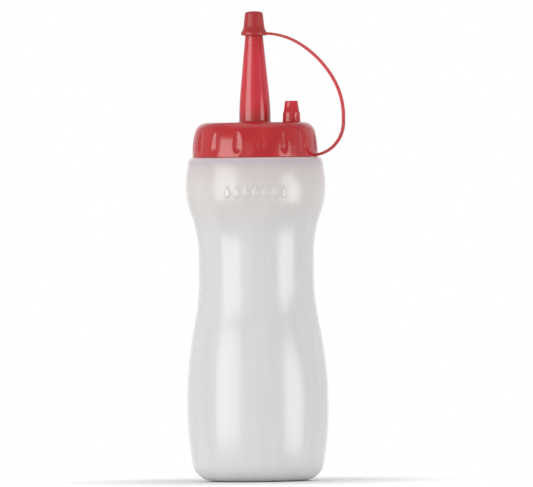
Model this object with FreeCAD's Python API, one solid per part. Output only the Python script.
"""Squeeze bottle for condiments, 12 fl oz, with a screw lid, a cone nozzle and a tethered tip cap.

The bottle is blow moulded in soft polyethylene, with two bulges, a waist for the hand and a threaded neck.
The lid is one injection moulding: skirt, grip flutes, inner thread, plug ring, cone nozzle and a peg that
the tip cap is parked on while the bottle is in use. A foamed washer seals the lid on the neck. The tip cap
hangs on a moulded strap that is rooted in the lid's rim.

Millimetres, +Z up. The origin is on the bottle's axis, in the plane that it stands on.
The strap and the peg lie in one upright plane, turned strap_azimuth from +X.
"""

import FreeCAD, Part
import math
import os

V = FreeCAD.Vector
UP = V(0, 0, 1)
FULL_TURN = 360.0

# Bottle body: radii are outside, heights are of the widest or narrowest places.
base_ring_inner_r = 14.0  # inside edge of the ring it stands on
base_push_up = 2.4  # how far the middle of the base is domed up
base_corner_r = 9.0
base_lean = 10.0  # degrees that the side leans at the base corner
lower_bulge_r = 31.3
lower_bulge_z = 33.0
waist_r = 25.5
waist_low_z = 90.0
waist_length = 10.0
upper_bulge_r = 30.9
upper_bulge_z = 130.0
shoulder_z = 143.4  # the flat ledge under the lid
shoulder_lean = 12.0  # degrees that the side leans at the shoulder corner
shoulder_corner_r = 2.0
lower_flank_share = 0.66  # share of the lower flank that bows outwards
upper_flank_share = 0.35
body_wall = 1.1
pinch_off_length = 26.0  # the welded seam under a blow moulded bottle
pinch_off_width = 0.9
pinch_off_height = 0.5

# Neck and thread.
neck_r = 23.75
neck_wall = 1.95
neck_height = 10.8
neck_foot_r = 0.8  # fillet between neck and ledge
neck_lip_r = 0.5
thread_pitch = 4.233
thread_depth = 1.2
thread_turns = 1.05
thread_crest = 0.9  # width of the ridge at its crest
thread_foot = 2.3  # width of the ridge where it leaves the wall
thread_start = 3.3  # from the ledge up to the middle of the ridge's lower end
thread_clearance = 0.35  # radial, lid to neck, at crest and root

# Lid.
lid_gap = 0.3  # between the lid's rim and the ledge
lid_height = 15.5
lid_rim_r = 28.0
lid_taper = 9.5  # degrees that the skirt leans in
lid_corner_r = 5.0
lid_wall = 1.45
lid_thread_turns = 1.0
lid_thread_shift = 0.35  # the lid's ridge sits this much above the middle of the neck's groove
lid_edge_r = 0.35
lid_thread_root = 1.5  # the lid ridge's width inside the wall, as a multiple of thread_foot
plug_clearance = 0.4
plug_wall = 1.2
plug_depth = 3.2  # how far the plug ring reaches into the neck
plug_lead = 0.5  # chamfer at the plug ring's end
seat_ring_width = 1.3
liner_thickness = 1.0

# Grip flutes in the skirt: scoops that are deepest at their round lower end and run out under the shoulder.
flute_count = 16
flute_first = 5.5  # degrees from -Y towards +X
flute_cutter_r = 4.5
flute_depth = 0.5  # at the lower end
flute_lean = 4.5  # degrees that the scoop's floor leans in, less than the skirt
flute_low = 4.5  # from the lid's rim up to the deepest place

# Nozzle.
nozzle_length = 47.3  # above the lid's roof
nozzle_base_r = 7.0
nozzle_bow = 12.0  # height over which the foot bows from upright to the cone
nozzle_taper = 5.5  # degrees
nozzle_foot_r = 0.9
nozzle_wall = 1.4
nozzle_tip_edge_r = 0.4
orifice_r = 1.6
orifice_length = 3.0

# Tip cap.
cap_seat = 8.7  # length of nozzle that the cap covers
cap_clearance = 0.15
cap_end_gap = 0.35  # between the nozzle's end and the cap's roof
cap_roof = 1.75
cap_flange_r = 5.75
cap_flange_height = 1.7
cap_flare_height = 1.6
cap_body_r = 4.72  # at the top of the flare
cap_body_taper = 6.5  # degrees
cap_corner_r = 1.1
cap_dome = 0.4  # how far the top's middle stands above its edge
cap_pin_clearance = 0.15
cap_pin_length = 1.8
cap_pin_lead_share = 0.3  # how much the pin narrows at its end, as a share of its radius

# Parking peg on the lid.
peg_distance = 17.1  # from the lid's axis
peg_base_r = 4.0
peg_step_r = 3.8
peg_step_in = 0.3
peg_step_height = 4.2
peg_top_r = 2.9
peg_height = 9.4
peg_edge_r = 0.4
peg_wall = 1.15

# Tether strap, from the lid's rim out and up to the cap's flange.
strap_azimuth = -18.0  # degrees from +X, so towards -Y
strap_thickness = 1.15
strap_width = 2.4
strap_reach = 41.3  # how far its belly stands from the axis
strap_belly_share = 0.32  # height of the belly, as a share of the strap's rise
strap_tight_turn = 30.0  # degrees turned in each of the two tighter upper bends
strap_tight_share = 0.87  # the tighter upper bends, as a share of a plain quarter circle
strap_end_gap = 0.05  # to the cap's flange, which moves
strap_lug_width = 4.6  # the strap flares to this at both ends
strap_lug_length = 2.0
strap_lug_root = 0.6  # where the cap's lug starts, as a share of the flange's radius

# Worked out from the sizes above.
waist_high_z = waist_low_z + waist_length
neck_top_z = shoulder_z + neck_height
neck_bore_r = neck_r - neck_wall
thread_crest_r = neck_r + thread_depth
lid_rim_z = shoulder_z + lid_gap
lid_roof_z = lid_rim_z + lid_height
lid_ceiling_z = lid_roof_z - lid_wall
liner_top_z = neck_top_z + liner_thickness
plug_outer_r = neck_bore_r - plug_clearance
plug_inner_r = plug_outer_r - plug_wall
plug_low_z = neck_top_z - plug_depth
seat_ring_middle_r = neck_bore_r + neck_wall / 2
nozzle_tip_z = lid_roof_z + nozzle_length
cap_low_z = nozzle_tip_z - cap_seat
cap_ceiling_z = nozzle_tip_z + cap_end_gap
cap_top_z = cap_ceiling_z + cap_roof
strap_low_z = lid_rim_z + strap_thickness / 2
strap_high_z = cap_low_z + cap_flange_height / 2


def sine(degrees):
    return math.sin(math.radians(degrees))


def cosine(degrees):
    return math.cos(math.radians(degrees))


def tangent(degrees):
    return math.tan(math.radians(degrees))


class Outline:
    """Lines and arcs in the XZ plane, each from where the last one ended. r is the distance from the axis."""

    def __init__(self, r, z):
        self.at = V(r, 0, z)
        self.start = self.at
        self.edges = []

    def line(self, r, z):
        """A straight edge to (r, z)."""
        end = V(r, 0, z)
        if end.distanceToPoint(self.at) > 1e-6:
            self.edges.append(Part.LineSegment(self.at, end).toShape())
            self.at = end
        return self

    def arc(self, r, z, turn):
        """An arc to (r, z) that turns left by turn degrees, or right if turn is negative."""
        end = V(r, 0, z)
        chord = end - self.at
        sagitta = chord.Length / 2 * math.tan(math.radians(turn) / 4)
        right = V(chord.z, 0, -chord.x)
        right.normalize()
        middle = (self.at + end) * 0.5 + right * sagitta
        self.edges.append(Part.Arc(self.at, middle, end).toShape())
        self.at = end
        return self

    def s_curve(self, r, z, share):
        """Two arcs to (r, z), upright at both ends. share is the first one's share of the height."""
        dr, dz = r - self.at.x, z - self.at.z
        turn = -2 * math.degrees(math.atan2(dr, dz))
        self.arc(self.at.x + dr * share, self.at.z + dz * share, turn)
        return self.arc(r, z, -turn)

    def face(self):
        """The closed outline, filled."""
        self.line(self.start.x, self.start.z)
        return Part.Face(Part.Wire(self.edges))

    def turned(self):
        """The closed outline, turned round the Z axis."""
        return self.face().revolve(V(0, 0, 0), UP, FULL_TURN)


def ring(inner_r, outer_r, low_z, high_z):
    return Outline(inner_r, low_z).line(outer_r, low_z).line(outer_r, high_z).line(inner_r, high_z).turned()


def turned_about_z(shape, degrees):
    copy = shape.copy()
    copy.rotate(V(0, 0, 0), UP, degrees)
    return copy


def thread_ridge(foot_r, foot_width, crest_r, crest_width, low_z, turns, start_angle):
    """A right-hand helical ridge from foot_r, in or out, to crest_r. low_z is the middle of its lower end."""
    corners = [
        V(foot_r, 0, -foot_width / 2),
        V(crest_r, 0, -crest_width / 2),
        V(crest_r, 0, crest_width / 2),
        V(foot_r, 0, foot_width / 2),
    ]
    profile = Part.makePolygon(corners + corners[:1])
    helix = Part.makeHelix(thread_pitch, thread_pitch * turns, (foot_r + crest_r) / 2)
    ridge = Part.Wire(helix.Edges).makePipeShell([profile], True, True)
    ridge.translate(V(0, 0, low_z))
    return turned_about_z(ridge, start_angle)


def body_outline(inset, base_z, floor_middle_z, floor_edge_r):
    """The bottle's side from the middle of its base to its shoulder, each radius inset by the wall."""
    corner = base_corner_r - inset
    corner_top_z = base_z + corner * (1 - sine(base_lean))
    side_r = (lower_bulge_z - corner_top_z) / sine(base_lean)
    corner_top_r = lower_bulge_r - inset - side_r * (1 - cosine(base_lean))
    foot_r = corner_top_r - corner * cosine(base_lean)
    dome = math.degrees(2 * math.atan2(floor_middle_z - base_z, floor_edge_r))
    outline = Outline(0, floor_middle_z)
    outline.arc(floor_edge_r, base_z, -dome)
    outline.line(foot_r, base_z)
    outline.arc(corner_top_r, corner_top_z, 90 - base_lean)
    outline.arc(lower_bulge_r - inset, lower_bulge_z, base_lean)
    outline.s_curve(waist_r - inset, waist_low_z, lower_flank_share)
    outline.line(waist_r - inset, waist_high_z)
    outline.s_curve(upper_bulge_r - inset, upper_bulge_z, 1 - upper_flank_share)
    ledge_corner = max(shoulder_corner_r - inset, shoulder_corner_r / 3)
    ledge_z = shoulder_z - inset
    top_z = ledge_z - ledge_corner * (1 - sine(shoulder_lean))
    top_r = upper_bulge_r - inset - (top_z - upper_bulge_z) * tangent(shoulder_lean / 2)
    outline.arc(top_r, top_z, shoulder_lean)
    outline.arc(top_r - ledge_corner * cosine(shoulder_lean), ledge_z, 90 - shoulder_lean)
    return outline


def make_bottle():
    """Blow moulded body with a domed base, a hollow inside and one turn of thread on the neck."""
    outside = body_outline(0, 0, base_push_up, base_ring_inner_r)
    outside.line(neck_r + neck_foot_r, shoulder_z)
    outside.arc(neck_r, shoulder_z + neck_foot_r, -90)
    outside.line(neck_r, neck_top_z - neck_lip_r)
    outside.arc(neck_r - neck_lip_r, neck_top_z, 90)
    outside.line(0, neck_top_z)
    inside = body_outline(body_wall, body_wall, base_push_up + body_wall, base_ring_inner_r)
    inside.line(neck_bore_r, shoulder_z - body_wall)
    inside.line(neck_bore_r, neck_top_z + 1)
    inside.line(0, neck_top_z + 1)
    root = neck_wall / 4  # how far the ridge is sunk in the neck's wall
    ridge = thread_ridge(
        neck_r - root,
        thread_foot * (1 + root / thread_depth / 2),
        thread_crest_r,
        thread_crest,
        shoulder_z + thread_start,
        thread_turns,
        0,
    )
    seam = Part.makeBox(pinch_off_length, pinch_off_width, base_push_up + body_wall / 2)
    seam.translate(V(-pinch_off_length / 2, -pinch_off_width / 2, 0))
    dome = Outline(0, base_push_up - pinch_off_height)
    dome_turn = math.degrees(2 * math.atan2(base_push_up, base_ring_inner_r))
    dome.arc(base_ring_inner_r, -pinch_off_height, -dome_turn)
    dome.line(0, -pinch_off_height)
    seam = seam.cut(dome.turned())
    walls = outside.turned().fuse(ridge).fuse(seam)
    return walls.cut(inside.turned()).removeSplitter()


def lid_outline():
    """The lid's outer surface as a solid, from the nozzle's end to the rim."""
    cone_r = nozzle_base_r - nozzle_bow * tangent(nozzle_taper / 2)
    cone_z = lid_roof_z + nozzle_foot_r + nozzle_bow
    tip_r = cone_r - (nozzle_tip_z - cone_z) * tangent(nozzle_taper)
    edge = nozzle_tip_edge_r
    corner_z = lid_roof_z - lid_corner_r * (1 - sine(lid_taper))
    corner_r = lid_rim_r - (corner_z - lid_rim_z) * tangent(lid_taper)
    outline = Outline(0, lid_rim_z)
    outline.line(lid_rim_r - lid_edge_r, lid_rim_z)
    outline.arc(lid_rim_r - lid_edge_r * tangent(lid_taper), lid_rim_z + lid_edge_r, 90 + lid_taper)
    outline.line(corner_r, corner_z)
    outline.arc(corner_r - lid_corner_r * cosine(lid_taper), lid_roof_z, 90 - lid_taper)
    outline.line(nozzle_base_r + nozzle_foot_r, lid_roof_z)
    outline.arc(nozzle_base_r, lid_roof_z + nozzle_foot_r, -90)
    outline.arc(cone_r, cone_z, nozzle_taper)
    outline.line(tip_r + edge * tangent(nozzle_taper), nozzle_tip_z - edge)
    outline.arc(tip_r - edge, nozzle_tip_z, 90 - nozzle_taper)
    outline.line(0, nozzle_tip_z)
    return outline, cone_r, cone_z


def lid_hollow(cone_r, cone_z):
    """The space under the lid and up the nozzle, a wall's thickness inside the outer surface."""
    slant_wall = lid_wall / cosine(lid_taper)
    corner = lid_corner_r - lid_wall
    corner_z = lid_roof_z - lid_corner_r + corner * sine(lid_taper)
    corner_r = lid_rim_r - slant_wall - (corner_z - lid_rim_z) * tangent(lid_taper)
    below = lid_rim_z - 1
    throat_z = nozzle_tip_z - orifice_length
    throat_r = cone_r - nozzle_wall - (throat_z - cone_z) * tangent(nozzle_taper)
    outline = Outline(0, below)
    outline.line(lid_rim_r - slant_wall + tangent(lid_taper), below)
    outline.line(corner_r, corner_z)
    outline.arc(corner_r - corner * cosine(lid_taper), lid_ceiling_z, 90 - lid_taper)
    outline.line(nozzle_base_r - nozzle_wall, lid_ceiling_z)
    outline.line(cone_r - nozzle_wall, cone_z)
    outline.line(throat_r, throat_z)
    outline.line(orifice_r, throat_z)
    outline.line(orifice_r, nozzle_tip_z + 1)
    outline.line(0, nozzle_tip_z + 1)
    return outline


def make_peg():
    """The stepped parking peg and the core that hollows it from below, both in place on the lid."""
    step_z = lid_roof_z + peg_step_height
    top_z = lid_roof_z + peg_height
    foot_z = lid_roof_z - lid_wall / 2
    peg = Outline(0, foot_z)
    peg.line(peg_base_r, foot_z)
    peg.line(peg_base_r, lid_roof_z)
    peg.line(peg_step_r, step_z)
    peg.line(peg_step_r - peg_step_in, step_z + peg_step_in)
    peg.line(peg_top_r, top_z - peg_edge_r)
    peg.arc(peg_top_r - peg_edge_r, top_z, 90)
    peg.line(0, top_z)
    core = Outline(0, lid_ceiling_z - 1)
    core.line(peg_base_r - peg_wall, lid_ceiling_z - 1)
    core.line(peg_top_r - peg_wall, top_z - peg_wall)
    core.line(0, top_z - peg_wall)
    made = []
    for outline in (peg, core):
        solid = outline.turned()
        solid.translate(V(peg_distance, 0, 0))
        made.append(turned_about_z(solid, strap_azimuth))
    return made


def flute_cutter():
    """A rod with a round lower end, almost upright at azimuth 0, that scoops one grip flute."""
    low_z = lid_rim_z + flute_low
    low_r = lid_rim_r - flute_low * tangent(lid_taper) - flute_depth + flute_cutter_r
    low = V(low_r, 0, low_z)
    rod = Part.makeCylinder(flute_cutter_r, lid_height, low, V(-sine(flute_lean), 0, cosine(flute_lean)))
    return rod.fuse(Part.makeSphere(flute_cutter_r, low))


def make_lid():
    """One moulding: skirt, roof, nozzle, peg, seat ring, plug ring, inner thread and grip flutes."""
    outline, cone_r, cone_z = lid_outline()
    envelope = outline.turned()
    shell = envelope.cut(lid_hollow(cone_r, cone_z).turned())
    buried_z = lid_ceiling_z + lid_wall / 3
    half_seat = seat_ring_width / 2
    seat_ring = ring(seat_ring_middle_r - half_seat, seat_ring_middle_r + half_seat, liner_top_z, buried_z)
    plug = Outline(plug_inner_r, plug_low_z)
    plug.line(plug_outer_r - plug_lead, plug_low_z)
    plug.line(plug_outer_r, plug_low_z + 2 * plug_lead)
    plug.line(plug_outer_r, buried_z)
    plug.line(plug_inner_r, buried_z)
    peg, core = make_peg()
    ridge = thread_ridge(
        lid_rim_r,
        thread_foot * lid_thread_root,
        neck_r + thread_clearance,
        thread_crest,
        shoulder_z + thread_start - thread_pitch / 2 + lid_thread_shift + thread_pitch / 4,
        lid_thread_turns,
        FULL_TURN / 4,
    ).common(envelope)
    solid = shell.fuse([seat_ring.common(envelope), plug.turned(), peg, ridge]).cut(core)
    cutter = flute_cutter()
    for n in range(flute_count):
        solid = solid.cut(turned_about_z(cutter, flute_first - 90 + n * FULL_TURN / flute_count))
    return solid.removeSplitter()


def make_liner():
    """The foamed washer that the lid's seat ring presses on the end of the neck."""
    return ring(neck_bore_r, neck_r - neck_lip_r, neck_top_z, liner_top_z)


def nozzle_r(z):
    """The nozzle's outer radius on its cone."""
    _, cone_r, cone_z = lid_outline()
    return cone_r - (z - cone_z) * tangent(nozzle_taper)


def make_tip_cap():
    """The cup that closes the nozzle, with a flared flange to pull it by and a pin that plugs the orifice."""
    flare_z = cap_low_z + cap_flange_height
    body_z = flare_z + cap_flare_height
    corner = cap_corner_r
    shoulder = cap_top_z - cap_dome - corner
    shoulder_r = cap_body_r - (shoulder - body_z) * tangent(cap_body_taper)
    outside = Outline(0, cap_low_z)
    outside.line(cap_flange_r, cap_low_z)
    outside.line(cap_flange_r, flare_z)
    outside.line(cap_body_r, body_z)
    outside.line(shoulder_r, shoulder)
    top_r = shoulder_r - corner * cosine(cap_body_taper)
    outside.arc(top_r, cap_top_z - cap_dome + corner * sine(cap_body_taper), 90 - cap_body_taper)
    outside.arc(0, cap_top_z, math.degrees(2 * math.atan2(cap_dome - corner * sine(cap_body_taper), top_r)))
    mouth_z = cap_low_z - 1
    socket = Outline(0, mouth_z)
    socket.line(nozzle_r(mouth_z) + cap_clearance, mouth_z)
    socket.line(nozzle_r(cap_ceiling_z) + cap_clearance, cap_ceiling_z)
    socket.line(0, cap_ceiling_z)
    pin_r = orifice_r - cap_pin_clearance
    pin_low_z = nozzle_tip_z - cap_pin_length
    pin_lead = pin_r * cap_pin_lead_share
    pin = Outline(0, pin_low_z)
    pin.line(pin_r - pin_lead, pin_low_z)
    pin.line(pin_r, pin_low_z + pin_lead)
    pin.line(pin_r, cap_ceiling_z + cap_roof / 2)
    pin.line(0, cap_ceiling_z + cap_roof / 2)
    return outside.turned().cut(socket.turned()).fuse(pin.turned()).removeSplitter()


class StrapLine:
    """The strap's middle line in its own upright plane, built up from straight runs and tangent arcs."""

    def __init__(self, r, z):
        self.at = V(r, 0, z)
        self.heading = 0.0
        self.spans = []

    def run(self, length):
        """A straight run. One with no length is left out."""
        if length > 1e-6:
            end = self.at + V(cosine(self.heading), 0, sine(self.heading)) * length
            self.spans.append((self.at, end, self.heading, self.heading, None))
            self.at = end

    def bend(self, radius, turn):
        """An arc to the left."""
        left = V(-sine(self.heading), 0, cosine(self.heading))
        centre = self.at + left * radius
        after = self.heading + turn
        end = centre + V(sine(after), 0, -cosine(after)) * radius
        self.spans.append((self.at, end, self.heading, after, centre))
        self.at = end
        self.heading = after

    def side(self, offset):
        """The line again, moved offset to its left, as edges."""
        edges = []
        for start, end, before, after, centre in self.spans:
            moved = [
                point + V(-sine(heading), 0, cosine(heading)) * offset
                for point, heading in ((start, before), (end, after))
            ]
            if centre is None:
                edges.append(Part.LineSegment(*moved).toShape())
            else:
                middle = (before + after) / 2
                radius = start.distanceToPoint(centre) - offset
                halfway = centre + V(sine(middle), 0, -cosine(middle)) * radius
                edges.append(Part.Arc(moved[0], halfway, moved[1]).toShape())
        return edges

    def length(self):
        total = 0.0
        for start, end, before, after, centre in self.spans:
            if centre is None:
                total += start.distanceToPoint(end)
            else:
                total += start.distanceToPoint(centre) * math.radians(after - before)
        return total


def strap_line():
    """From inside the lid's rim, out, up round the belly and back to the middle of the cap's flange."""
    start_r, end_r = lid_rim_r - lid_wall, cap_flange_r - strap_thickness
    belly_rise = (strap_high_z - strap_low_z) * strap_belly_share
    low_bend_r = min(strap_reach - start_r, belly_rise)
    line = StrapLine(start_r, strap_low_z)
    line.run(strap_reach - start_r - low_bend_r)
    line.bend(low_bend_r, 90)
    top_room = min(strap_high_z - strap_low_z - belly_rise, strap_reach - end_r)
    line.run(strap_high_z - line.at.z - top_room)
    c, s = cosine(strap_tight_turn), sine(strap_tight_turn)
    tight_r = top_room * strap_tight_share
    line.bend(tight_r, strap_tight_turn)
    line.bend((top_room - tight_r * (1 - c + s)) / (c - s), 90 - 2 * strap_tight_turn)
    line.bend(tight_r, strap_tight_turn)
    line.run(line.at.x - end_r)
    return line


def lug(root_r, tip_r, low_z):
    """A flat pad that narrows from strap_lug_width at root_r to the strap's width at tip_r."""
    wide, slim = strap_lug_width / 2, strap_width / 2
    corners = [V(root_r, -wide, low_z), V(tip_r, -slim, low_z), V(tip_r, slim, low_z), V(root_r, wide, low_z)]
    return Part.Face(Part.makePolygon(corners + corners[:1])).extrude(UP * strap_thickness)


def make_strap():
    """A flat moulded strap with a flared lug at each end, trimmed to the lid's rim and the cap's flange."""
    line = strap_line()
    half = strap_thickness / 2
    inner, outer = line.side(half), line.side(-half)
    near_end = Part.LineSegment(inner[0].Vertexes[0].Point, outer[0].Vertexes[0].Point).toShape()
    far_end = Part.LineSegment(inner[-1].Vertexes[-1].Point, outer[-1].Vertexes[-1].Point).toShape()
    band = Part.Face(Part.Wire(Part.__sortEdges__(inner + outer + [near_end, far_end])))
    strap = band.extrude(V(0, strap_width, 0))
    strap.translate(V(0, -strap_width / 2, 0))
    rim_lug = lug(lid_rim_r - lid_wall, lid_rim_r + strap_lug_length, lid_rim_z)
    cap_lug = lug(cap_flange_r * strap_lug_root, cap_flange_r + strap_lug_length, strap_high_z - half)
    outline, _, _ = lid_outline()
    flange = Part.makeCylinder(cap_flange_r + strap_end_gap, cap_seat, V(0, 0, cap_low_z - cap_seat / 2))
    solid = strap.fuse([rim_lug, cap_lug]).cut(outline.turned()).cut(flange).removeSplitter()
    return turned_about_z(solid, strap_azimuth), line.length()


def largest_solid(shape):
    """The shape's one solid: a boolean returns it inside a compound."""
    solids = sorted(shape.Solids, key=lambda s: s.Volume)
    return solids[-1]


def build():
    strap, strap_length = make_strap()
    made = {
        "bottle": make_bottle(),
        "lid": make_lid(),
        "lid_liner": make_liner(),
        "tether_strap": strap,
        "tip_cap": make_tip_cap(),
    }
    os.makedirs("parts", exist_ok=True)
    for name, shape in made.items():
        solid = largest_solid(shape)
        print(f"{name}: {len(shape.Solids)} solid, valid {solid.isValid()}, {solid.Volume / 1000:.2f} ml")
        solid.exportStep(f"parts/{name}.step")
    print(f"strap {strap_length:.1f} mm long")


build()
